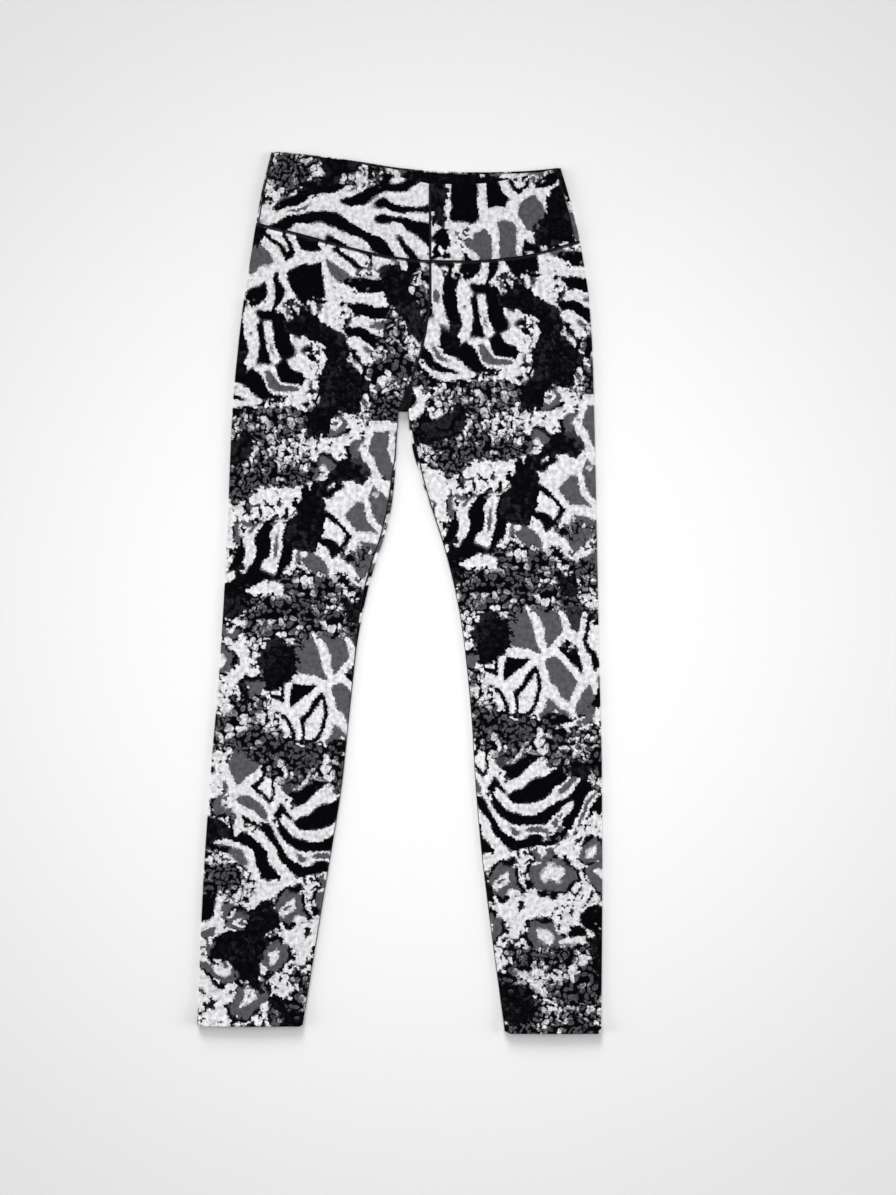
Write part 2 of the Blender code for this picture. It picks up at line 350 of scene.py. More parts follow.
# %% The shell builder
SHARP_EDGE = radians(50)
Shell = namedtuple("Shell", "piece outer normals station", defaults=(None,))
CUT_AT = {
    # where each piece was cut from the printed cloth: millimetres across and down
    "leg_right_cloth": (430.0, 60.0),
    "leg_left_cloth": (189.0, 90.0),
    "waistband_front_right_cloth": (59.0, 233.0),
    "waistband_front_left_cloth": (-564.0, 233.0),
    "waistband_back_cloth": (-501.0, 380.0),
    "waistband_back_facing_cloth": (50.0, 532.0),
}
CUT_SIZE = {}                     # width, length and area of each piece on the flat cloth


def cloth_shell(name, middle, flat, outward, thickness=CLOTH, rims=(0.3, 0.3),
                sink=0.0, turned_in=0.0):
    """A closed shell of cloth; lengths are in millimetres.

    middle is (rows, columns, 3) with a drop as its second coordinate, and flat is the
    same grid on the flat cloth. rims is the roundness at the first and last row, sink
    how far the cloth dips at its seams, turned_in what a turned hem adds inside.
    """
    points = np.stack((middle[..., 0], TOP - middle[..., 1], middle[..., 2]), axis=-1)
    normals = grid_normals(points, outward)
    half, size = thickness / 2, points.shape[:2]
    outer = points + normals * (half - np.broadcast_to(sink, size)[..., None])
    inner = points - normals * (half + np.broadcast_to(turned_in, size)[..., None])
    last = rim_rows(outer[-1], inner[-1], points[-1] - points[-2], rims[1])
    first = rim_rows(outer[0], inner[0], points[0] - points[1], rims[0])
    loop = np.concatenate((outer, last, inner[::-1], first[::-1]))
    loop_flat = np.concatenate((flat, np.repeat(flat[-1:], len(last), axis=0),
                                flat[::-1], np.repeat(flat[:1], len(first), axis=0)))
    rows, columns = middle.shape[:2]
    mesh = bpy.data.meshes.new(name)
    mesh.from_pydata((loop.reshape(-1, 3) / 1000).tolist(), [],
                     shell_faces(rows, columns, RIM_STEPS - 1))
    corners = np.empty(len(mesh.loops), dtype=np.int32)
    mesh.loops.foreach_get("vertex_index", corners)
    layer = mesh.uv_layers.new(name="flat_cloth")
    on_bolt = (loop_flat.reshape(-1, 2) + CUT_AT.get(name, (0.0, 0.0))) / 1000
    layer.data.foreach_set("uv", on_bolt[corners].ravel())
    face_outwards(mesh)
    mesh.shade_smooth()
    mesh.set_sharp_from_angle(angle=SHARP_EDGE)
    CUT_SIZE[name] = cut_size(flat)
    triangles = sum(len(face.vertices) - 2 for face in mesh.polygons)
    print(f"{name}: {rows} rows of {columns}, {triangles} triangles")
    return Shell(add_object(name, mesh), outer, normals)


print("pieces of printed cloth:", ", ".join(CUT_AT))

# %% [markdown]
# ## Creases and seams as relief
# Laid out by hand, jersey still keeps a few soft folds. Each is a row of a table: where
# it lies, how long, which way it runs, how wide, and how high or deep it is. They are
# uneven on purpose. Along every seam the cloth is pulled down into a narrow groove.

# %% Relief
FRONT_CREASES = (
    # x, drop, length, heading in degrees, width, height
    (-40.0, 268.0, 120.0, 158.0, 9.0, -0.55),
    (-62.0, 316.0, 105.0, 171.0, 8.0, 0.45),
    (52.0, 262.0, 110.0, 24.0, 9.0, -0.5),
    (70.0, 318.0, 95.0, 10.0, 8.0, 0.4),
    (-128.0, 196.0, 70.0, 62.0, 10.0, 0.4),
    (168.0, 205.0, 80.0, 118.0, 11.0, 0.4),
    (-120.0, 470.0, 150.0, 97.0, 12.0, -0.45),
    (-80.0, 560.0, 60.0, 160.0, 8.0, 0.35),
    (150.0, 515.0, 130.0, 84.0, 12.0, -0.4),
    (118.0, 640.0, 75.0, 12.0, 9.0, 0.4),
    (-150.0, 655.0, 85.0, 168.0, 9.0, 0.4),
    (-130.0, 688.0, 60.0, 8.0, 7.0, -0.35),
    (150.0, 690.0, 70.0, 170.0, 8.0, -0.35),
    (-165.0, 850.0, 120.0, 96.0, 10.0, 0.4),
    (170.0, 880.0, 110.0, 86.0, 10.0, 0.4),
)
BACK_CREASES = (
    # the same columns
    (-50.0, 262.0, 110.0, 156.0, 9.0, 0.6),
    (60.0, 272.0, 120.0, 22.0, 10.0, 0.6),
    (-115.0, 420.0, 90.0, 100.0, 10.0, 0.5),
    (140.0, 470.0, 120.0, 82.0, 11.0, 0.5),
    (-140.0, 640.0, 80.0, 14.0, 8.0, 0.6),
    (150.0, 655.0, 90.0, 166.0, 9.0, 0.55),
    (-160.0, 820.0, 100.0, 94.0, 9.0, 0.5),
    (172.0, 860.0, 90.0, 88.0, 9.0, 0.45),
)
SEAM_DEPTH, SEAM_WIDTH = 0.9, 2.4
CREASE_BOW = 0.9                  # how far a crease's ends curve off, in its own widths


def relief(creases, x, drop):
    """Sum of soft creases at places on the garment."""
    total = np.zeros_like(x)
    for centre_x, centre_drop, length, heading, width, height in creases:
        c, s = np.cos(radians(heading)), np.sin(radians(heading))
        along = ((x - centre_x) * c + (drop - centre_drop) * s) / (length / 2)
        across = (-(x - centre_x) * s + (drop - centre_drop) * c) / width
        bow = CREASE_BOW * along ** 2
        total += height * np.exp(-(across - bow) ** 2 - along ** 4)
    return total


def seam_groove(distance):
    """How far cloth dips at a distance from the seam along its edge."""
    return SEAM_DEPTH * np.exp(-(distance / SEAM_WIDTH) ** 2)


def fading(distance, reach):
    """0 at an edge, rising smoothly to 1 at a distance from it."""
    t = np.clip(distance / reach, 0.0, 1.0)
    return t * t * (3 - 2 * t)


print("creases:", len(FRONT_CREASES), "on the front,", len(BACK_CREASES), "on the back")

# %% [markdown]
# ## The legs
# A leg is one cut piece. Its grid needs rows close together only where the cloth bends
# tightly: beside a sewn edge, at the crotch and round the turned hem. A column keeps its
# distance from a seam, or its share of the way between two places.

# %% Rows and columns of a leg
CLOSE = np.array([0.0, 0.4, 0.9, 1.5, 2.2, 3.0, 4.0, 5.4])    # distances from a sewn edge
RISE, ABOVE_CROTCH, BELOW_CROTCH = 190.0, 9, 18    # about the rise; rows 1 mm apart
ROWS_TO_CROTCH, ROWS_TO_HEM = 56, 190
HEM_TURN, HEM_PLY = 9.5, 0.8      # height of the turned hem, and what it adds inside
ROUND_TURN = HEM_TURN + np.array([4.5, 3.0, 1.8, 0.8, 0.0, -0.8, -1.8])
AT_HEM = np.array([6.0, 4.4, 3.0, 1.8, 0.9, 0.3, 0.0])
LAST_ROW = {side: HEM[side] - (CLOTH + HEM_PLY) / 2 for side in HEM}


def leg_stations(side):
    """Rows of a leg: 0 at the waist seam, 1 at the crotch, 2 at the hem."""
    inseam, hem = LAST_ROW[side] - CROTCH, np.concatenate((ROUND_TURN, AT_HEM))
    upper = np.concatenate((CLOSE,
                            np.linspace(CLOSE[-1], RISE - ABOVE_CROTCH, ROWS_TO_CROTCH)[1:],
                            RISE - np.arange(ABOVE_CROTCH - 1, 0, -1)))
    lower = np.concatenate((np.arange(BELOW_CROTCH),
                            np.linspace(BELOW_CROTCH, inseam - hem[0], ROWS_TO_HEM)[:-1],
                            inseam - hem))
    return np.concatenate((upper / RISE, 1 + lower / inseam))[:, None]


def leg_columns(front=46, fold=9, back=30):
    """Weights that place each column: of the front end, the fold's end, the back end."""
    near, last = CLOSE, CLOSE[-1]
    columns = [(1.0, 0.0, 0.0, distance) for distance in near]
    columns += [(1 - f, 0.0, 0.0, (1 - f) * last) for f in np.linspace(0, 1, front + 1)[1:]]
    columns += [(0.0, f, 0.0, 0.0) for f in np.linspace(0, 1, fold + 1)[1:]]
    columns += [(0.0, 1 - f, f, -f * last) for f in np.linspace(0, 1, back + 1)[1:]]
    columns += [(0.0, 0.0, 1.0, -distance) for distance in near[-2::-1]]
    return np.array(columns).T


print("a leg's grid:", len(leg_stations(RIGHT)), "rows,", leg_columns().shape[1], "columns")

# %% [markdown]
# A row doesn't run level. The top ones follow the slant of the waist seam, and the last
# one draws back at the hem's rounded corners. The inseams don't lie on the edge all the
# way: lower down they have rolled a little onto the front.

# %% Rows that follow seams and hems
SEAM_GAP = 0.5                    # between two sewn edges, before their rims swell
HEM_ROUNDING = {RIGHT: (3.0, 7.0), LEFT: (7.0, 3.5)}    # at the inseam, at the side fold
STEEPEST = 0.7                    # share of a corner's radius where its rounding ends
INSEAM_ROLL = (
    # drop, how far the inseam has rolled onto the front: right leg, left leg
    (300.0, 0.0, 0.0),
    (312.0, 0.4, 3.0),
    (345.0, 1.5, 4.3),
    (375.0, 3.8, 2.6),
    (420.0, 4.6, 0.6),
    (505.0, 4.2, 0.0),
    (570.0, 1.0, 0.0),
    (640.0, 0.0, 0.0),
)
inseam_roll = {RIGHT: curve(INSEAM_ROLL, 1), LEFT: curve(INSEAM_ROLL, 2)}


def rounding(distance, radius):
    """How far an edge draws back near its corner, at a distance from the side."""
    short = np.clip(radius - distance, 0.0, STEEPEST * radius)
    return radius - np.sqrt(radius ** 2 - short ** 2)


def from_side(side, drop, x):
    """Distance of the middle of the cloth from the side fold's outermost line."""
    return side * (side_edge[side](drop) - x) - CLOTH / 2


def leg_drop(side, station, x):
    """Drop of a leg's row at x: the top ones follow the waist seam, the last has corners."""
    top, last = waist_seam(x) + SEAM_GAP / 2, LAST_ROW[side]
    inner, outer = HEM_ROUNDING[side]
    from_inseam = side * (x - leg_edge[side](last)) - CLOTH / 2
    last = last - rounding(from_inseam, inner) - rounding(from_side(side, last, x), outer)
    return np.where(station <= 1, top + (CROTCH - top) * station,
                    CROTCH + (last - CROTCH) * (station - 1))


print("inseams roll onto the front by up to",
      [max(row[column] for row in INSEAM_ROLL) for column in (1, 2)], "mm")

# %% [markdown]
# Seen in section a leg starts at the inseam, crosses the front, folds under at the side,
# comes back along the table and meets itself at the inseam again. Above the crotch the
# two ends stay apart and run into the centre seams. Every place on the path is given by
# `along`, millimetres of cloth counted from the side fold: below zero it lies on the
# front, above it goes round the fold to the back.

# %% The section across a leg
CURL_START, CURL_END = 0.985, 1.012    # stations between which the inner edge closes


def leg_section(side, station, drop, weights):
    """x and height of a leg's middle surface, its place along the cloth, and its ends."""
    fold, rise = fold_height(station), crown(station)
    radius = (fold - BACK_MIDDLE) / 2
    quarter, half_round = pi * radius / 2, pi * radius
    turn = np.clip((station - CURL_START) / (CURL_END - CURL_START), 1e-3, 1.0)
    bend = turn / radius
    rolled, edge_reach = inseam_roll[side](drop), radius + CLOTH / 2
    seam = np.where(rolled < edge_reach, quarter * (1 + rolled / edge_reach),
                    half_round + rolled - edge_reach)
    edge = inner_edge(side, drop) + side * CLOTH / 2 * np.sin(turn * pi / 2)
    flat_in = edge + side * np.sin(bend * quarter) / bend
    flat_out = side_edge[side](drop) - side * (CLOTH / 2 + radius)
    width = side * (flat_out - flat_in)
    start = -(width + half_round - seam - SEAM_GAP / 2)
    end = half_round + width + seam - SEAM_GAP / 2
    along = start * weights[0] + half_round * weights[1] + end * weights[2] + weights[3]

    front_arc = np.maximum(-along - width, 0.0)
    back = along - half_round
    back_arc = np.clip(back - width, 0.0, half_round)
    on_front = (along <= 0) | (back > width + half_round)
    fold_angle = np.clip(along, 0.0, half_round) / radius
    x = np.where(along < 0, flat_out + side * np.maximum(along, -width),
                 flat_out - side * np.clip(back, 0.0, width))
    x = x + side * radius * np.sin(fold_angle) * (back <= 0)
    x = x - side * np.sin(bend * np.maximum(front_arc, back_arc)) / bend
    x = x + side * np.maximum(back - width - half_round, 0.0)
    height = np.where(on_front, fold, BACK_MIDDLE)
    height = np.where((along > 0) & (back < 0),
                      BACK_MIDDLE + radius * (1 + np.cos(fold_angle)), height)
    height = height - (1 - np.cos(bend * front_arc)) / bend
    height = height + (1 - np.cos(bend * back_arc)) / bend * ~on_front
    share = np.clip(-along / width, 0.0, 1.0)
    height = height + rise * np.sin(pi * share) * (along < 0)
    return x, height, along, start, end, half_round, flat_out


print("an inner edge closes within", round(RISE * (1 - CURL_START), 1), "mm over the crotch")

# %% [markdown]
# A point's x depends on its drop, and its drop on its x, because the waist seam and the
# hem run aslant. A few rounds of working out one from the other settle both. Creases,
# seam grooves, the turned hem and the lift of the free ends then go on top.

# %% Making the legs
SETTLING_ROUNDS = 5
CALM, FAR = 12.0, 99.0            # reach of the calm cloth along seams; out of any reach
HEM_RIDGE, HEM_STEP = 0.12, 1.6   # how far the turned ply shows, and how softly
HEM_LIFT, HEM_LIFT_REACH = {"front": 3.0, "back": 2.0}, 45.0


def make_leg(side, name):
    station, weights = leg_stations(side), leg_columns()
    drop = np.broadcast_to(leg_drop(side, station, 0.0), (len(station), weights.shape[1]))
    for _ in range(SETTLING_ROUNDS):
        x, height, along, start, end, half_round, flat_out = leg_section(
            side, station, drop, weights)
        drop = leg_drop(side, station, x)

    from_ends = np.minimum(along - start, end - along)
    from_fold = np.where(along < 0, -along, along - half_round)
    calm = fading(np.minimum(from_ends, from_fold), CALM)
    height = height + relief(FRONT_CREASES, x, drop) * calm * (along < 0)
    height = height + relief(BACK_CREASES, x, drop) * calm * (along > half_round)
    from_hem = HEM[side] - drop
    lift = np.where(along < half_round / 2, HEM_LIFT["front"], HEM_LIFT["back"])
    height = height + lift * np.clip(1 - from_hem / HEM_LIFT_REACH, 0, 1) ** 2
    height = puffed(height, x, drop)

    in_hem = 1 - fading(from_hem - HEM_TURN + HEM_STEP / 2, HEM_STEP)
    from_waist = np.where(station < 1, drop - waist_seam(x), FAR)
    sink = seam_groove(np.minimum(from_ends, from_waist)) - HEM_RIDGE * in_hem
    flat = np.stack((flat_out + side * along, drop), axis=-1)
    middle = np.stack((x, drop, height), axis=-1)
    shell = cloth_shell(name, middle, flat, (0, 0, 1), rims=(0.3, 1.0), sink=sink,
                        turned_in=HEM_PLY * in_hem)
    return shell._replace(station=station[:, 0])


legs = {RIGHT: make_leg(RIGHT, "leg_right_cloth"), LEFT: make_leg(LEFT, "leg_left_cloth")}

# %% [markdown]
# ## The waistband
# The band follows the hips, so it is curved on the flat: its lower seam dips towards the
# centre. The front is two halves of doubled cloth that meet in a centre seam. The back is
# one piece; its ends come round the sides and meet the front there. Its top edge is a
# fold: the outer ply turns over by a millimetre and meets the facing inside.

# %% A band between two edges
BAND_ROLL = {RIGHT: 2.7, LEFT: 5.6}    # how far the back band comes onto the front
BAND_ROUNDING = {RIGHT: 6.0, LEFT: 5.5}    # of the corners at the top of the side folds
BAND_DEPTH, BAND_WIDTH = 95.0, 180.0   # about; they only space the rows and columns
BAND_ROWS = 26
BAND_CALM = 10.0                       # reach of the calm cloth along its edges
FACING_INSET = 3.4
FACING_TURN = 0.75                     # radius of the back's folded top edge
BAND_CREASES = (
    # the same columns as the other creases
    (-112.0, 44.0, 60.0, 20.0, 9.0, 0.25),
    (-20.0, 80.0, 70.0, 8.0, 10.0, 0.25),
    (88.0, 78.0, 60.0, 174.0, 9.0, -0.25),
    (160.0, 66.0, 50.0, 150.0, 8.0, 0.25),
)


def shares(length, middle_count):
    """Shares of a length, crowded at both ends as sewn edges need."""
    near = CLOSE / length
    return np.concatenate((near, np.linspace(near[-1], 1 - near[-1], middle_count)[1:-1],
                           1 - near[::-1]))


def band_drop(face, share, x, tuck):
    """Drop at a share of the way from the band's top edge to the waist seam."""
    top, low = band_top[face](x) + tuck, waist_seam(x) - SEAM_GAP / 2
    for side in (RIGHT, LEFT):
        top = top + rounding(from_side(side, band_top[face](x), x), BAND_ROUNDING[side])
    return top + (low - top) * share


def level_band(name, face, low_edge, high_edge, height, thickness, tuck, rims, columns):
    """A band that lies level between two edges, each a function of the drop."""
    row_share = shares(BAND_DEPTH, BAND_ROWS)[:, None]
    column_share = shares(BAND_WIDTH, columns)
    x = np.zeros((len(row_share), len(column_share)))
    for _ in range(SETTLING_ROUNDS):
        drop = band_drop(face, row_share, x, tuck)
        low, high = low_edge(drop), high_edge(drop)
        x = low + (high - low) * column_share
    from_seams = np.minimum(np.minimum(x - low, high - x), waist_seam(x) - drop)
    calm = fading(from_seams, BAND_CALM) * fading(drop - band_top[face](x), BAND_CALM)
    z = height + relief(BAND_CREASES, x, drop) * calm * (face == "front")
    middle = np.stack((x, drop, np.broadcast_to(z, x.shape)), axis=-1)
    return cloth_shell(name, middle, np.stack((x, drop), axis=-1), (0, 0, 1), thickness,
                       rims=rims, sink=seam_groove(from_seams) * (face == "front"))


print("waistband:", len(shares(BAND_DEPTH, BAND_ROWS)), "rows")

# %% [markdown]
# A half of the front ends at the centre seam and at its side seam, where the back band
# has rolled up beside it. The facing ends a little inside the side folds.

# %% The front of the waistband, and the facing
def front_side_seam(side):
    return lambda drop: side_edge[side](drop) - side * (BAND_ROLL[side] + SEAM_GAP)


def centre_side(side):
    return lambda drop: inner_edge(side, drop) + side * SEAM_GAP / 2


def facing_side(side):
    return lambda drop: side_edge[side](drop) - side * FACING_INSET


front_halves = {
    RIGHT: level_band("waistband_front_right_cloth", "front", front_side_seam(RIGHT),
                      centre_side(RIGHT), BAND_MIDDLE, BAND_PLIES, BAND_PLIES / 2,
                      (1.0, 0.2), 50),
    LEFT: level_band("waistband_front_left_cloth", "front", centre_side(LEFT),
                     front_side_seam(LEFT), BAND_MIDDLE, BAND_PLIES, BAND_PLIES / 2,
                     (1.0, 0.2), 44),
}
facing_top = 2 * FACING_TURN + CLOTH / 2 + SEAM_GAP
facing = level_band("waistband_back_facing_cloth", "back", facing_side(RIGHT),
                    facing_side(LEFT), FACING_MIDDLE, CLOTH, facing_top, (0.2, 0.3), 90)

# %% [markdown]
# The back band's outer ply lies level on the table. Its columns go on past both sides:
# half round the fold, then level again on the front. A few more rows at the top turn the
# cloth over towards the facing; where the band rolls, its edge hardly turns.

# %% The back of the waistband
ROLLED_SWING = 0.5                     # how far the top edge turns where the band rolls
SWING_REACH = 0.05                     # share of the width until it turns all the way
TURN_STEPS = 5
LEVEL_COLUMNS, ROUND_COLUMNS = 71, 12


def back_band():
    """The back band's outer ply: level on the table, its ends rolled up, its top folded."""
    radius = (BAND_HIGH - CLOTH / 2 - BACK_MIDDLE) / 2
    half_round = pi * radius
    level_end = {s: BAND_ROLL[s] - radius - CLOTH / 2 for s in (RIGHT, LEFT)}
    roll_far = {s: half_round + level_end[s] for s in (RIGHT, LEFT)}
    around = np.linspace(0.0, 1.0, ROUND_COLUMNS + 1)[1:]
    roll = {s: np.concatenate((half_round * around,
                               half_round + level_end[s] * np.array([0.5, 1.0])))
            for s in (RIGHT, LEFT)}
    level, end = np.zeros(LEVEL_COLUMNS), np.ones(ROUND_COLUMNS + 2)
    side_of = np.concatenate((RIGHT * end, level, LEFT * end))
    past = np.concatenate((roll[RIGHT][::-1], level, roll[LEFT]))
    share = np.concatenate((0 * end, np.linspace(0.0, 1.0, LEVEL_COLUMNS), end))

    row_share = shares(BAND_DEPTH, BAND_ROWS)[:, None]
    from_roll = np.minimum(share, 1 - share)
    swing = ROLLED_SWING + (pi - ROLLED_SWING) * fading(from_roll, SWING_REACH)
    tuck = (FACING_TURN + CLOTH / 2) * np.sin(np.minimum(swing, pi / 2))
    x = np.zeros((len(row_share), len(share)))
    for _ in range(SETTLING_ROUNDS):
        drop = band_drop("back", row_share, x, tuck)
        foot = {s: side_edge[s](drop) - s * (CLOTH / 2 + radius) for s in (RIGHT, LEFT)}
        x = foot[RIGHT] + (foot[LEFT] - foot[RIGHT]) * share
        angle = np.minimum(past, half_round) / radius
        x = x + side_of * (radius * np.sin(angle) - np.maximum(past - half_round, 0.0))
    z = np.broadcast_to(BACK_MIDDLE + radius * (1 - np.cos(angle)), x.shape)
    u = foot[RIGHT] + (foot[LEFT] - foot[RIGHT]) * share + side_of * past

    inward = np.stack((-side_of * np.sin(angle), np.zeros_like(angle), np.cos(angle)), -1)
    over, over_flat = [], []
    for step in range(TURN_STEPS, 0, -1):
        bend = swing * step / TURN_STEPS
        row = np.stack((x[0], drop[0] - FACING_TURN * np.sin(bend), z[0]), axis=-1)
        over.append(row + inward * (FACING_TURN * (1 - np.cos(bend)))[:, None])
        over_flat.append(np.stack((u[0], drop[0] - FACING_TURN * bend), axis=-1))
    middle = np.concatenate((np.stack(over), np.stack((x, drop, z), axis=-1)))
    flat = np.concatenate((np.stack(over_flat), np.stack((u, drop), axis=-1)))
    roll_end = np.where(side_of < 0, roll_far[RIGHT], roll_far[LEFT])
    from_end = np.where(side_of == 0, FAR, roll_end - past)
    from_waist = np.concatenate((np.full((TURN_STEPS, x.shape[1]), FAR),
                                 waist_seam(x) - drop))
    return cloth_shell("waistband_back_cloth", middle, flat, (0, 0, -1),
                       sink=seam_groove(np.minimum(from_waist, from_end)))


back = back_band()

# %% [markdown]
# ## The gusset
# A small diamond of plain dark jersey is let into the crotch, so that four seams don't
# meet in one point. Laid flat it folds under along the crotch line.

# %% The gusset
GUSSET_TIP = 260.5                # drop of its upper point


def make_gusset(rows=26, fold_rows=9, columns=9):
    fold = float(fold_height(1.0))
    radius = (fold - BACK_MIDDLE) / 2
    straight = CROTCH - CLOTH / 2 - radius
    down = np.linspace(GUSSET_TIP, straight, rows)
    angle = np.linspace(0.0, pi, fold_rows + 1)[1:-1]
    drop = np.concatenate((down, straight + radius * np.sin(angle), down[::-1]))
    height = np.concatenate((np.full(rows, fold), BACK_MIDDLE + radius * (1 + np.cos(angle)),
                             np.full(rows, BACK_MIDDLE)))
    low = inner_edge(RIGHT, drop) + SEAM_GAP / 2
    high = inner_edge(LEFT, drop) - SEAM_GAP / 2
    share = np.linspace(0.0, 1.0, columns)
    x = low[:, None] + (high - low)[:, None] * share
    height = puffed(height[:, None], x, drop[:, None])
    middle = np.stack((x, np.broadcast_to(drop[:, None], x.shape), height), axis=-1)
    step = np.linalg.norm(np.diff(middle[:, 0, 1:], axis=0), axis=1)
    run = np.concatenate(([0.0], np.cumsum(step)))
    flat = np.stack((x, np.broadcast_to(run[:, None], x.shape)), axis=-1)
    sink = seam_groove(np.minimum(x - low[:, None], high[:, None] - x))
    return cloth_shell("gusset_cloth", middle, flat, (0, -1, 0), rims=(0.3, 0.3), sink=sink)


gusset = make_gusset()

# %% [markdown]
# ## Writing node trees as sums
# The stitches and the materials below are node trees. `add_node` adds one node from its
# inputs and settings. `Wire` stands for an output and lets sums be written as sums: each
# sign adds one Math node to the tree.

# %% Wires
class Wire:
    """An output socket that can be added, multiplied and masked like a number."""

    def __init__(self, tree, socket):
        self.tree, self.socket = tree, socket

    def math(self, operation, other):
        return add_node(self.tree, "ShaderNodeMath", {0: self, 1: other}, operation=operation)

    def vector(self, operation, other):
        return add_node(self.tree, "ShaderNodeVectorMath", {0: self, 1: other},
                        operation=operation)

    def __add__(self, other):
        return self.math("ADD", other)

    def __sub__(self, other):
        return self.math("SUBTRACT", other)

    def __mul__(self, other):
        return self.math("MULTIPLY", other)

    def __invert__(self):
        return self * -1.0 + 1.0

    def above(self, level, soft=0.02):
        """A mask: 1 where the value lies above the level, with a soft step."""
        return add_node(self.tree, "ShaderNodeMapRange",
                        {"Value": self, "From Min": level - soft, "From Max": level + soft},
                        interpolation_type="SMOOTHSTEP")

    def below(self, level, soft=0.02):
        return ~self.above(level, soft)

    def moved(self, shift):
        return self.vector("ADD", shift)

    def stretched(self, factors):
        return self.vector("MULTIPLY", factors)

    def scaled(self, factor):
        return add_node(self.tree, "ShaderNodeVectorMath", {0: self, "Scale": factor},
                        operation="SCALE")

    def turned(self, degrees):
        return add_node(self.tree, "ShaderNodeVectorRotate",
                        {"Vector": self, "Angle": radians(degrees)}, rotation_type="Z_AXIS")


print("a wire can be", ", ".join(name for name in vars(Wire) if not name.startswith("_")))

# %% [markdown]
# A node has sockets that its settings switch off, and some of those share a name. So a
# socket is looked up among the ones in use, after the settings are made.

# %% Nodes and sockets
def plug(value, socket):
    """Link a wire to a socket, or set the socket to a plain value."""
    if isinstance(value, Wire):
        value.tree.links.new(value.socket, socket)
    else:
        socket.default_value = value


def open_socket(sockets, name=None):
    """The first socket in use, or the one in use that has the name or number."""
    if isinstance(name, int):
        return sockets[name]
    return next(s for s in sockets if s.enabled and name in (None, s.name))


def add_node(tree, kind, inputs, output=None, **settings):
    """A node with its properties set and its inputs plugged; gives back one output."""
    made = tree.nodes.new(kind)
    for name, value in settings.items():
        setattr(made, name, value)
    for name, value in inputs.items():
        plug(value, open_socket(made.inputs, name))
    return Wire(tree, open_socket(made.outputs, output))


def input_wires(tree):
    """A new tree's own inputs, as wires by name."""
    outputs = tree.nodes.new("NodeGroupInput").outputs
    return {output.name: Wire(tree, output) for output in outputs}


print("tools for node trees: plug, open_socket, add_node, input_wires")

# %% [markdown]
# ## Stitches in the seams
# The pieces are joined with black thread that crosses the seam to and fro over rows of
# needle thread. The waist seam gets a broad cover stitch on the leg's side, the centre
# seams a plainer one and the other seams a narrow one. Round the side folds and
# underneath, the cover stitch gets as narrow as those, so that it stays off the table.
# Geometry Nodes make them all from lines of points that carry the cloth's normal and the
# stitch's width.

# %% Lines of the seams
BAR_LIFT = 0.2                    # height of the thread over the cloth
COVER, CENTRE, NARROW = 4.7, 2.8, 1.3    # widths at the waist, the centre and elsewhere
COVER_ROW = 3                     # the leg's row that the cover stitch follows


def seam_line(first, second, normals, width=NARROW):
    """Points half way between two sewn edges, the cloth's normals, the stitch's width."""
    ups = unit(normals)
    return (first + second) / 2 + ups * BAR_LIFT, ups, np.broadcast_to(width, len(ups))


def waist_lines():
    """On top the line keeps to the leg's side of the seam, underneath to the leg's edge."""
    lines = []
    for leg in legs.values():
        ups = leg.normals[COVER_ROW]
        on_top = (1 + ups[:, 2:]) / 2
        row = leg.outer[0] * (1 - on_top) + leg.outer[COVER_ROW] * on_top
        broad = np.clip(ups[:, 2], 0.0, 1.0) ** 2
        lines.append(seam_line(row, row, ups, NARROW + (COVER - NARROW) * broad))
    return lines


def other_lines():
    right, left = legs[RIGHT], legs[LEFT]
    lines = []
    for leg in (right, left):
        below = leg.station >= 1.0
        lines.append(seam_line(leg.outer[below, 0], leg.outer[below, -1],
                               leg.normals[below, 0]))
    rows = (right.station <= 1.0) & (right.outer[:, 0, 1] > TOP - GUSSET_TIP)
    for column in (0, -1):
        lines.append(seam_line(right.outer[rows, column], left.outer[rows, column],
                               right.normals[rows, column], CENTRE))
    front_right, front_left = front_halves[RIGHT], front_halves[LEFT]
    lines.append(seam_line(front_right.outer[:, -1], front_left.outer[:, 0],
                           front_left.normals[:, 0], CENTRE))
    for half, column in ((front_right, 0), (front_left, -1)):
        lines.append(seam_line(half.outer[:, column], back.outer[TURN_STEPS:, column],
                               half.normals[:, column]))
    for column, side in ((0, RIGHT), (-1, LEFT)):
        edge = gusset.outer[:, column]
        lines.append(seam_line(edge + (side * SEAM_GAP, 0, 0), edge,
                               gusset.normals[:, column]))
    return lines


def line_object(name, lines):
    mesh = bpy.data.meshes.new(name)
    counts = [len(points) for points, _, _ in lines]
    starts = np.cumsum([0] + counts[:-1])
    edges = [(start + i, start + i + 1) for start, count in zip(starts.tolist(), counts)
             for i in range(count - 1)]
    mesh.from_pydata((np.concatenate([p for p, _, _ in lines]) / 1000).tolist(), edges, [])
    up = mesh.attributes.new("up", "FLOAT_VECTOR", "POINT")
    up.data.foreach_set("vector", np.concatenate([u for _, u, _ in lines]).ravel())
    width = mesh.attributes.new("width", "FLOAT", "POINT")
    width.data.foreach_set("value", np.concatenate([w for _, _, w in lines]) / 1000)
    return add_object(name, mesh)


seams = [line_object("waist_stitches", waist_lines()),
         line_object("seam_stitches", other_lines())]
print("seam lines:", [len(piece.data.vertices) for piece in seams], "points")

# %% [markdown]
# The tree sweeps fine rows of thread along each line and lays two sets of bars over them,
# slanted both ways by an uneven angle, so that they cross. Its sizes are named inputs, in
# metres; the slant is in radians, and the rows' place and thickness are shares of the
# stitch's width.

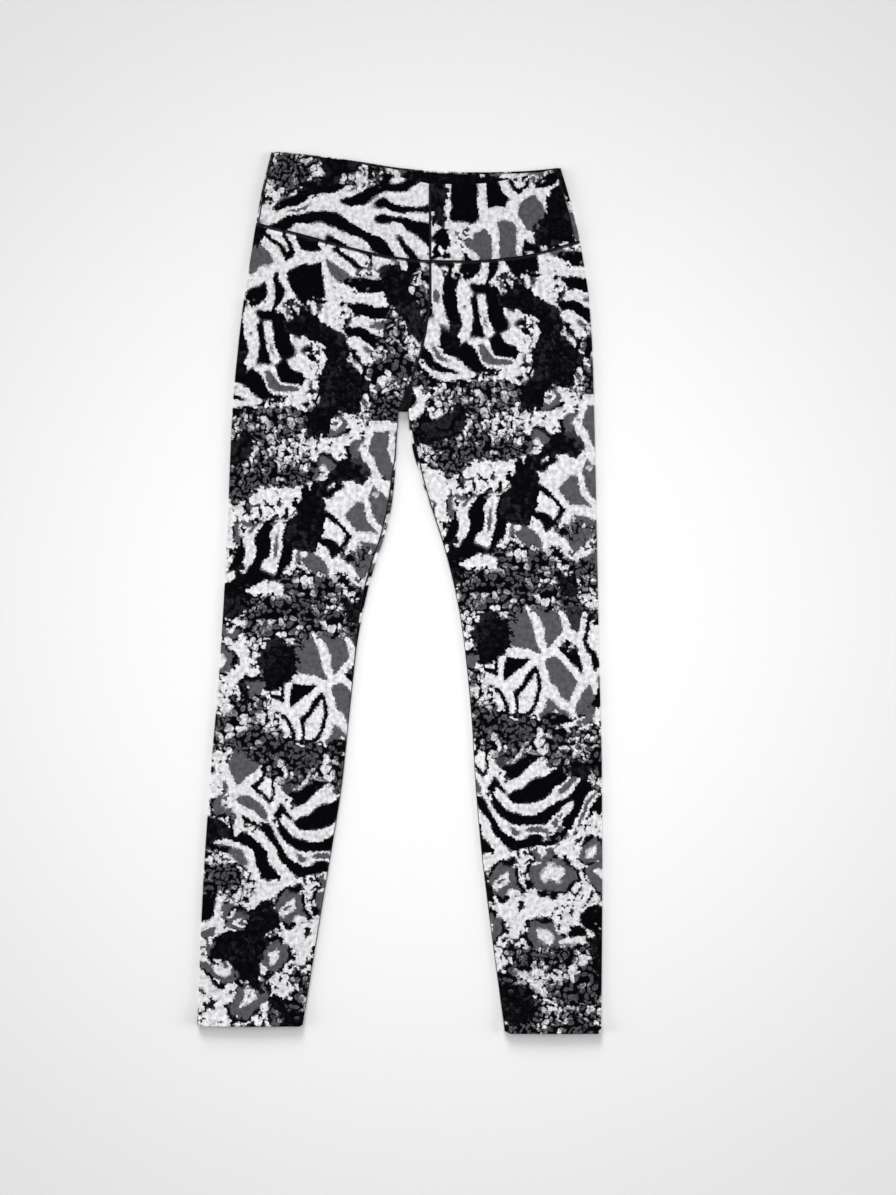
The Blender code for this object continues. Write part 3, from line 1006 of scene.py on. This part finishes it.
# %% The stitch tree
THREAD_ROWS = 4
SLANTS = ((3, 1.0), (4, -1.0))    # a seed and a way to lean for each set of bars
UNEVEN = (0.6, 1.4)               # least and greatest share of the slant
STITCH_SIZES = (
    ("Spacing", 0.00115),
    ("Thickness", 0.00045),
    ("Bulge", 0.0003),
    ("Slant", 0.42),
    ("Rows Apart", 0.78),
    ("Row Thickness", 0.19),
    ("Row Step", 0.0024),
)


def stitch_tree():
    tree = bpy.data.node_groups.new("stitches along a seam", "GeometryNodeTree")
    socket = tree.interface.new_socket
    socket("Seam", in_out="INPUT", socket_type="NodeSocketGeometry")
    for label, value in STITCH_SIZES:
        socket(label, in_out="INPUT", socket_type="NodeSocketFloat").default_value = value
    socket("Thread", in_out="INPUT", socket_type="NodeSocketMaterial")
    socket("Stitches", in_out="OUTPUT", socket_type="NodeSocketGeometry")
    given = input_wires(tree)

    def node(kind, inputs, **settings):
        return add_node(tree, kind, inputs, **settings)

    line = node("GeometryNodeMeshToCurve", {"Mesh": given["Seam"]})
    up = node("GeometryNodeInputNamedAttribute", {"Name": "up"}, data_type="FLOAT_VECTOR")
    width = node("GeometryNodeInputNamedAttribute", {"Name": "width"}, data_type="FLOAT")
    tangent = node("GeometryNodeInputTangent", {})
    parts = []

    spaced = node("GeometryNodeResampleCurve",
                  {"Curve": line, "Length": given["Spacing"]}, mode="LENGTH")
    bar = node("GeometryNodeCurveQuadraticBezier",
               {"Resolution": 2, "Start": (0.0, -0.5, 0.0), "End": (0.0, 0.5, 0.0),
                "Middle": node("ShaderNodeCombineXYZ", {"Z": given["Bulge"] * 2.0})})
    section = node("GeometryNodeCurvePrimitiveCircle",
                   {"Resolution": 5, "Radius": given["Thickness"] * 0.5})
    thread = node("GeometryNodeCurveToMesh",
                  {"Curve": bar, "Profile Curve": section, "Fill Caps": True})
    lying = node("FunctionNodeAxesToRotation", {"Primary Axis": up, "Secondary Axis": tangent},
                 primary_axis="Z", secondary_axis="X")
    size = node("ShaderNodeCombineXYZ", {"X": 1.0, "Y": width, "Z": 1.0})
    placed = node("GeometryNodeInstanceOnPoints",
                  {"Points": spaced, "Instance": thread, "Rotation": lying, "Scale": size})
    for seed, way in SLANTS:
        least, most = (given["Slant"] * (way * share) for share in UNEVEN)
        lean = node("FunctionNodeRandomValue", {"Min": least, "Max": most, "Seed": seed},
                    data_type="FLOAT")
        parts.append(node("GeometryNodeRotateInstances",
                          {"Instances": placed,
                           "Rotation": node("ShaderNodeCombineXYZ", {"Z": lean})}))

    run = node("GeometryNodeResampleCurve",
               {"Curve": line, "Length": given["Row Step"]}, mode="LENGTH")
    sideways = up.vector("CROSS_PRODUCT", tangent)
    around = node("GeometryNodeCurvePrimitiveCircle", {"Resolution": 5, "Radius": 0.5})
    for place in np.linspace(-0.5, 0.5, THREAD_ROWS).tolist():
        shift = sideways.scaled(width * given["Rows Apart"] * place)
        moved = node("GeometryNodeSetPosition", {"Geometry": run, "Offset": shift})
        parts.append(node("GeometryNodeCurveToMesh",
                          {"Curve": moved, "Profile Curve": around,
                           "Scale": width * given["Row Thickness"], "Fill Caps": True}))

    both = tree.nodes.new("GeometryNodeJoinGeometry")
    for part in parts:
        plug(part, both.inputs[0])
    real = node("GeometryNodeRealizeInstances", {"Geometry": Wire(tree, both.outputs[0])})
    dyed = node("GeometryNodeSetMaterial", {"Geometry": real, "Material": given["Thread"]})
    plug(dyed, tree.nodes.new("NodeGroupOutput").inputs["Stitches"])
    return tree


stitches = stitch_tree()
print("stitch tree:", len(stitches.nodes), "nodes")

# %% [markdown]
# ## Materials as recipes
# A print like this is arithmetic on the cloth's own coordinates, which are millimetres on
# the flat cloth. A recipe is a function that takes those places as a wire and gives back
# the outputs of its sums by name. `cloth_group` makes a node group of it, `place_group`
# uses one.

# %% Noises, cells and groups
def blend(low, high, mask):
    """low where the mask is 0, high where it is 1; plain numbers or wires."""
    return ~mask * low + mask * high


def noise(place, size, detail=1.0, roughness=0.5, output="Fac"):
    return add_node(place.tree, "ShaderNodeTexNoise",
                    {"Vector": place, "Scale": 1.0 / size, "Detail": detail,
                     "Roughness": roughness}, output, noise_dimensions="2D")


def drift(place, size, reach, detail=1.0):
    """A shift that changes from place to place, by up to half the reach either way."""
    wander = noise(place, size, detail, output="Color")
    return wander.moved((-0.5, -0.5, -0.5)).scaled(reach)


def cells(place, size, output="Distance", feature="F1", randomness=1.0):
    return add_node(place.tree, "ShaderNodeTexVoronoi",
                    {"Vector": place, "Scale": 1.0 / size, "Randomness": randomness},
                    output, voronoi_dimensions="2D", feature=feature)


def cloth_group(name, recipe):
    """A group that works out a recipe's outputs from the places on the cloth."""
    tree = bpy.data.node_groups.new(name, "ShaderNodeTree")
    tree.interface.new_socket("Cloth", in_out="INPUT", socket_type="NodeSocketVector")
    results = recipe(input_wires(tree)["Cloth"])
    for label in results:
        tree.interface.new_socket(label, in_out="OUTPUT", socket_type="NodeSocketFloat")
    end = tree.nodes.new("NodeGroupOutput")
    for label, value in results.items():
        plug(value, end.inputs[label])
    print(f"{name}: {len(tree.nodes)} nodes")
    return tree


def place_group(group, place):
    """Use a group at the places given; its outputs come back as wires by name."""
    node = place.tree.nodes.new("ShaderNodeGroup")
    node.node_tree = group
    plug(place, node.inputs["Cloth"])
    return {socket.name: Wire(place.tree, socket) for socket in node.outputs}


print("tools for recipes: blend, noise, drift, cells, cloth_group, place_group")

# %% [markdown]
# ## The print
# The cloth carries a mixed animal print in black, white and one grey: tiger stripes,
# giraffe cells, leopard rosettes and pebbles, which run into each other in patches the
# size of a hand. Each motif puts out its ink as a tone from 0, black, to 1, white, with
# the grey between them. Stripes come from a Gabor wave whose heading wanders, giraffe
# cells from the distance to the edges of Voronoi cells. Such a cell's random colour is
# its lot, which decides how it is filled.

# %% Stripes and cells
BLACK_TONE, GREY_TONE, WHITE_TONE = 0.0, 0.5, 1.0
STRIPE_WAVE, STRIPE_TURNS, STRIPE_HEARTS = 60.0, 230.0, 90.0    # millimetres
HEADING_FROM, HEADING_RANGE = -1.5, 5.5    # radians, over the whole range of a noise
GIRAFFE_CELL, GIRAFFE_TURN, GIRAFFE_STRETCH = 33.0, 12.0, (1.0, 0.66, 1.0)
GIRAFFE_JOINT, GIRAFFE_EYE = 0.135, 0.27    # distances from a cell's edge, in cell sizes
GREY_CELLS, EYED_CELLS = 0.62, 0.36         # lots above which, and below which


def tiger_stripes(place):
    wander = noise(place.moved((310.0, 40.0, 0.0)), STRIPE_TURNS)
    heading = wander * HEADING_RANGE + HEADING_FROM
    wave = add_node(place.tree, "ShaderNodeTexGabor",
                    {"Vector": place, "Scale": 1 / STRIPE_WAVE, "Frequency": 2.0,
                     "Anisotropy": 0.95, "Orientation": heading}, "Value", gabor_type="2D")
    heart = noise(place.moved((17.0, 93.0, 0.0)), STRIPE_HEARTS).above(0.44, 0.01)
    grey = wave.above(0.66) * heart
    return {"Tone": blend(wave.above(0.50), GREY_TONE, grey)}


def giraffe_cells(place):
    place = place.turned(GIRAFFE_TURN).stretched(GIRAFFE_STRETCH)
    edge = cells(place, GIRAFFE_CELL, feature="DISTANCE_TO_EDGE", randomness=0.95)
    lot = cells(place, GIRAFFE_CELL, "Color", randomness=0.95)
    filling = lot.above(GREY_CELLS) * GREY_TONE
    tone = blend(WHITE_TONE, filling, edge.above(GIRAFFE_JOINT))
    eye = edge.above(GIRAFFE_EYE) * lot.below(EYED_CELLS)
    return {"Tone": blend(tone, WHITE_TONE, eye)}


stripes = cloth_group("tiger stripes", tiger_stripes)
giraffe = cloth_group("giraffe cells", giraffe_cells)

# %% [markdown]
# Rosettes are rings round the centres of cells: a broken black rim, a grey heart, a light
# eye with a grey dot. Small dark spots crowd between them. Pebbles are small cells, each
# with a lot that decides how light its stone is; where it is light, the stones grow and
# run together.

# %% Rosettes and pebbles
ROSETTE_CELL, ROSETTE_SPREAD = 56.0, 0.8
DOT, EYE, HEART, RIM, CLEAR = 0.04, 0.16, 0.33, (0.30, 0.42), 0.47    # radii, in cell sizes
SPOT_CELL, SPOT_CROWDS, SPOT_TONE = 6.5, 36.0, 0.1
STONE_SPREAD, DARKEST_STONE = 0.9, 0.48
STONES = (4.8, 7.6)               # small and large ones, millimetres


def leopard_rosettes(place):
    wobble = noise(place, 13.0) * 0.26 - 0.13
    lot = cells(place, ROSETTE_CELL, "Color", randomness=ROSETTE_SPREAD)
    reach = cells(place, ROSETTE_CELL, randomness=ROSETTE_SPREAD)
    radius = reach * (lot * 0.9 + 0.6) + wobble
    broken = noise(place.moved((71.0, 5.0, 0.0)), 14.0).above(0.43, 0.01)
    rim = radius.above(RIM[0]) * radius.below(RIM[1]) * broken
    tone = blend(blend(WHITE_TONE, BLACK_TONE, rim), GREY_TONE, radius.below(HEART))
    tone = blend(tone, WHITE_TONE, radius.below(EYE))
    tone = blend(tone, GREY_TONE, radius.below(DOT))
    gaps = cells(place.moved((9.0, 31.0, 0.0)), SPOT_CELL).above(0.56, 0.05)
    crowd = noise(place.moved((-33.0, 58.0, 0.0)), SPOT_CROWDS).above(0.54, 0.06)
    return {"Tone": blend(tone, SPOT_TONE, gaps * crowd * radius.above(CLEAR))}


def stones(place, size, light):
    """Round stones: the dark ones stand apart on black, the light ones grow and merge."""
    middle = cells(place, size, randomness=STONE_SPREAD)
    lot = cells(place, size, "Color", randomness=STONE_SPREAD)
    bright = (light + (lot - 0.5)).math("MINIMUM", 1.0).math("MAXIMUM", DARKEST_STONE)
    stone = middle.below(bright * 0.4 + 0.18, 0.1)
    hollow = middle.below(0.18, 0.08) * bright.below(0.7, 0.12) * 0.35
    return bright * stone * ~hollow


def pebbles(place):
    worn = place.moved(drift(place, 2.6, 1.6, detail=2.0)).moved(drift(place, 15.0, 11.0))
    light = noise(worn, 42.0, detail=2.0) * 2.6 - 0.72
    large = noise(worn.moved((-90.0, 12.0, 0.0)), 48.0, detail=2.0).above(0.5)
    tone = blend(*(stones(worn, size, light) for size in STONES), large)
    grit = noise(place, 1.9) * 1.1 + 0.5
    return {"Tone": (tone * grit).math("MINIMUM", 1.0)}


rosettes = cloth_group("leopard rosettes", leopard_rosettes)
pebble_ground = cloth_group("pebbles", pebbles)

# %% [markdown]
# The motifs' edges are not drawn with a pen: the print is knitted or felted in, and each
# edge steps from stitch to stitch. So the cloth's coordinates are first frayed by a fine
# noise and then pulled towards the centres of small cells. Slow noises decide which motif
# lies where, each above or below its own level.

# %% The whole print as one group
STITCH_CELL = 2.1                 # millimetres between the centres of the small cells
FRAY = 1.1                        # how far the finest noise moves an edge
GHOST = 0.14                      # how much of the pebbles shows in the blacks
CRUMBLE = 0.07                    # how far the patches' borders break up
BORDER = 0.004                    # softness of those borders
CELLS_FROM, ROSETTES_FROM, PEBBLES_TO, NIGHT_FROM = 0.555, 0.60, 0.462, 0.668


def mixed_animal_print(place):
    frayed = place.moved(drift(place, 1.5, FRAY * 2, detail=2.0))
    stepped = cells(frayed, STITCH_CELL, "Position", randomness=0.85)
    bend = drift(stepped, 75.0, 34.0).moved(drift(stepped, 24.0, 9.0))
    bent = stepped.moved(bend)
    pebbled = place_group(pebble_ground, frayed)["Tone"]

    wide = stepped.stretched((0.75, 1.0, 1.0)).turned(-14.0)
    field = noise(wide.moved((40.0, 260.0, 0.0)), 190.0, detail=1.3)
    other = noise(wide.moved((-370.0, 110.0, 0.0)), 165.0, detail=1.5)
    third = noise(wide.moved((510.0, -90.0, 0.0)), 155.0, detail=2.0)
    night = noise(stepped.moved((90.0, -450.0, 0.0)), 80.0, detail=1.5)
    crumb = cells(stepped, 5.6, "Color") * CRUMBLE
    tone = blend(place_group(stripes, bent)["Tone"], place_group(giraffe, bent)["Tone"],
                 (field + crumb).above(CELLS_FROM, BORDER))
    tone = blend(tone, place_group(rosettes, bent)["Tone"],
                 (other + crumb).above(ROSETTES_FROM, BORDER))
    tone = blend(tone, pebbled, (third + crumb).below(PEBBLES_TO, BORDER))
    return {"Tone": blend(tone, pebbled * GHOST, (night + crumb).above(NIGHT_FROM, BORDER))}


whole_print = cloth_group("mixed animal print", mixed_animal_print)

# %% [markdown]
# ## The cloth's surface
# Brushed jersey: a fine knit under a short nap. The grain group gives a mottle for the
# colour and a height for the bump; both printed and plain cloth use it.

# %% Grain of the jersey
FUZZ, CLOUD, WALE, KNIT = 1.2, 5.0, 2.4, 1.35    # millimetres


def grain_of_jersey(place):
    fuzz = noise(place, FUZZ, detail=3.0, roughness=0.7)
    cloud = noise(place, CLOUD, detail=2.0)
    wale = noise(place.stretched((1.0, 0.16, 1.0)), WALE, detail=2.0)
    knit = cells(place.stretched((1.0, 0.8, 1.0)), KNIT, randomness=0.5)
    return {"Mottle": fuzz * 0.4 + cloud * 1.1 + wale * 0.3 - 0.4,
            "Height": fuzz * 0.6 + cloud * 0.5 - knit * 0.35}


jersey_grain = cloth_group("jersey grain", grain_of_jersey)

# %% [markdown]
# A material's recipe takes its node tree and gives back what the Principled shader's
# sockets get: plain numbers for what is even, wires for the colour and the bump. A colour
# ramp turns tones into dyes, which are written as the 0 to 255 of a colour picker.

# %% Colours, bumps and materials
BUMP_STRENGTH = 0.6


def srgb(*values):
    """A colour given as 0 to 255 in sRGB, as the linear numbers that sockets want."""
    linear = [v / 12.92 if v <= 0.04045 else ((v + 0.055) / 1.055) ** 2.4
              for v in (value / 255 for value in values)]
    return (*linear, 1.0)


def ramp(tone, stops):
    """Colours along a tone; a stop is a place on it and a linear colour."""
    node = tone.tree.nodes.new("ShaderNodeValToRGB")
    plug(tone, node.inputs["Fac"])
    elements = node.color_ramp.elements
    while len(elements) < len(stops):
        elements.new(0.5)
    for element, (position, colour) in zip(elements, stops):
        element.position = position
        element.color = colour
    return Wire(tone.tree, node.outputs["Color"])


def bump(height, depth):
    return add_node(height.tree, "ShaderNodeBump",
                    {"Height": height, "Distance": depth, "Strength": BUMP_STRENGTH})


def new_material(name, recipe):
    material = bpy.data.materials.new(name)
    material.use_nodes = True
    tree = material.node_tree
    shader = tree.nodes["Principled BSDF"]
    for label, value in recipe(tree).items():
        plug(value, shader.inputs[label])
    print(f"{name}: {len(tree.nodes)} nodes")
    return material


print("a picker's middle grey in linear numbers:", round(srgb(128)[0], 3))

# %% [markdown]
# Both cloths are matt, with hardly any sheen. The mottle moves the light tones more than
# the dark ones. The thread has a little shine, and lint on it.

# %% Cloth and thread
CLOTH_FINISH = {"Roughness": 0.95, "Specular IOR Level": 0.01,
                "Sheen Weight": 0.01, "Sheen Roughness": 0.6}
NAP, LINT = 0.0006, 0.0001        # depths of the bumps, metres
DYES = (
    (0.00, srgb(3, 3, 5)),
    (0.07, srgb(12, 12, 15)),
    (0.38, srgb(68, 68, 72)),
    (0.54, srgb(91, 91, 95)),
    (0.78, srgb(170, 170, 173)),
    (0.90, srgb(208, 208, 210)),
    (1.00, srgb(228, 228, 230)),
)


def on_cloth(tree):
    """Places on the flat cloth, in millimetres."""
    return add_node(tree, "ShaderNodeUVMap", {}, uv_map="flat_cloth").scaled(1000.0)


def on_object(tree):
    """Places in the object's own space, in millimetres."""
    return add_node(tree, "ShaderNodeTexCoord", {}, "Object").scaled(1000.0)


def printed_jersey(tree):
    place = on_cloth(tree)
    tone, grain = place_group(whole_print, place)["Tone"], place_group(jersey_grain, place)
    shade = tone * 0.9 + (grain["Mottle"] - 0.5) * (tone * 0.27 + 0.12)
    return {**CLOTH_FINISH, "Base Color": ramp(shade, DYES),
            "Normal": bump(grain["Height"], NAP)}


def gusset_jersey(tree):
    grain = place_group(jersey_grain, on_cloth(tree))
    colour = ramp(grain["Mottle"], ((0.2, srgb(4, 4, 6)), (0.9, srgb(30, 30, 33))))
    return {**CLOTH_FINISH, "Base Color": colour, "Normal": bump(grain["Height"], NAP)}


def black_thread(tree):
    lint = noise(on_object(tree), 0.5, detail=2.0)
    colour = ramp(lint, ((0.3, srgb(16, 16, 19)), (0.8, srgb(42, 42, 46))))
    return {"Roughness": 0.6, "Specular IOR Level": 0.04, "Base Color": colour,
            "Normal": bump(lint, LINT)}


printed = new_material("printed jersey", printed_jersey)
dark = new_material("gusset jersey", gusset_jersey)
thread = new_material("black thread", black_thread)

# %% [markdown]
# ## Sewing
# Now that the thread exists, the stitch tree runs on the seams' lines. What it grows is
# kept as plain meshes. A modifier's input goes by its socket's identifier.

# %% Sewing
def grow(piece, tree, **values):
    """Run a tree on an object and keep its result as the object's plain mesh."""
    modifier = piece.modifiers.new(tree.name, "NODES")
    modifier.node_group = tree
    for item in tree.interface.items_tree:
        if item.in_out == "INPUT" and item.name in values:
            modifier[item.identifier] = values[item.name]
    evaluated = piece.evaluated_get(bpy.context.evaluated_depsgraph_get())
    mesh = bpy.data.meshes.new_from_object(evaluated)
    piece.modifiers.clear()
    piece.data = mesh
    mesh.shade_smooth()
    mesh.calc_loop_triangles()
    print(f"{piece.name}: {len(mesh.loop_triangles)} triangles")


for seam in seams:
    grow(seam, stitches, Thread=thread)

# %% [markdown]
# ## Handing the pieces over
# Each piece takes its cloth, stands for its node of the frame and rides on the frame's
# only body, because cloth has no joints here. The size that each piece was cut to is
# printed. Those sizes are measured on the flat cloth, on the same grids that made the
# shells.

# %% Cloth, nodes and flat sizes
PIECES = (
    # node, shell, slot, cloth, what it lies on
    ("leg_right", legs[RIGHT], "printed_jersey", printed, "table"),
    ("leg_left", legs[LEFT], "printed_jersey", printed, "table"),
    ("waistband_back", back, "printed_jersey", printed, "table"),
    ("waistband_back_facing", facing, "printed_jersey", printed, "waistband_back_cloth"),
    ("waistband_front_right", front_halves[RIGHT], "printed_jersey", printed,
     "waistband_back_facing_cloth"),
    ("waistband_front_left", front_halves[LEFT], "printed_jersey", printed,
     "waistband_back_facing_cloth"),
    ("gusset", gusset, "gusset_jersey", dark, "table"),
)
for node, shell, slot, cloth, under in PIECES:
    piece = shell.piece
    piece.data.materials.append(cloth)
    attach(piece, "root")
    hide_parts(node)
    width, length, area = CUT_SIZE[piece.name]
    print(f"{node}: cut {width * 1000:.0f} by {length * 1000:.0f} mm, {area:.4f} square metres")
for seam in seams:
    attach(seam, "root")

# %% [markdown]
# ## Table
# The table is a plain pale sheet of paper, so wide that from above no edge of it shows,
# and from low down only a far horizon. Its grey hardly varies, so that it stays a quiet
# ground for the print.

# %% Table
TABLE_HALF, TABLE_DEPTH = 30.0, 0.0002     # it lies a hair under the cloth
PAPER_GRAIN, PAPER_GREYS = 4.0, (0.795, 0.805)    # millimetres; linear greys


def pale_table(tree):
    paper = noise(on_object(tree), PAPER_GRAIN, detail=3.0)
    dark_grey, light_grey = ((grey, grey, grey, 1.0) for grey in PAPER_GREYS)
    return {"Roughness": 0.95, "Specular IOR Level": 0.0,
            "Base Color": ramp(paper, ((0.3, dark_grey), (0.7, light_grey)))}


corners = [(x * TABLE_HALF, y * TABLE_HALF, -TABLE_DEPTH)
           for x, y in ((-1, -1), (1, -1), (1, 1), (-1, 1))]
table_mesh = bpy.data.meshes.new("table")
table_mesh.from_pydata(corners, [], [(0, 1, 2, 3)])
table_mesh.materials.append(new_material("pale table", pale_table))
table = add_object("table", table_mesh)
print("table:", 2 * TABLE_HALF, "m wide, its top at", -TABLE_DEPTH, "m")

# %% [markdown]
# ## Light
# A round softbox close overhead makes the table's middle a little brighter than its
# corners. Three low, wide suns rake over the cloth. The one from beyond the waist is the
# strongest: it draws the seams and lays a short soft shadow under the hems. The two at
# the sides darken the table along the legs' edges and between them. The world fills in
# the rest, and the Standard view keeps black and white as dyed.

# %% Light
BOX_HEIGHT, BOX_SIZE, BOX_POWER = 0.6, 1.1, 3.1           # metres and watts
SUNS = {                    # degrees: height, turn from the waist's side, width; strength
    "sun beyond the waist": (24, -8, 26, 2.9),
    "sun on the right": (15, 90, 30, 2.16),
    "sun on the left": (15, -90, 30, 1.98),
}
ROOM_LIGHT = 0.11


def add_light(name, kind, place, turn, energy, **shape):
    data = bpy.data.lights.new(name, kind)
    data.energy = energy
    for setting, value in shape.items():
        setattr(data, setting, value)
    light = add_object(name, data)
    light.location, light.rotation_euler = place, turn
    return light


softbox = add_light("overhead softbox", "AREA", (*VIEW_MIDDLE, BOX_HEIGHT), (0, 0, 0),
                    BOX_POWER, shape="DISK", size=BOX_SIZE)
softbox.visible_camera = False
for name, (height, turn, width, strength) in SUNS.items():
    add_light(name, "SUN", (0, 0, 1), (radians(height - 90), 0, radians(-turn)), strength,
              angle=radians(width))

world = bpy.data.worlds.new("pale room")
world.use_nodes = True
background = world.node_tree.nodes["Background"]
background.inputs["Color"].default_value = (1.0, 1.0, 1.0, 1.0)
background.inputs["Strength"].default_value = ROOM_LIGHT
bpy.context.scene.world = world
bpy.context.scene.view_settings.view_transform = "Standard"
print("lights:", [light.name for light in bpy.data.lights])

# %% [markdown]
# ## Sizes
# The finished cloth has to stay inside the frame's box.
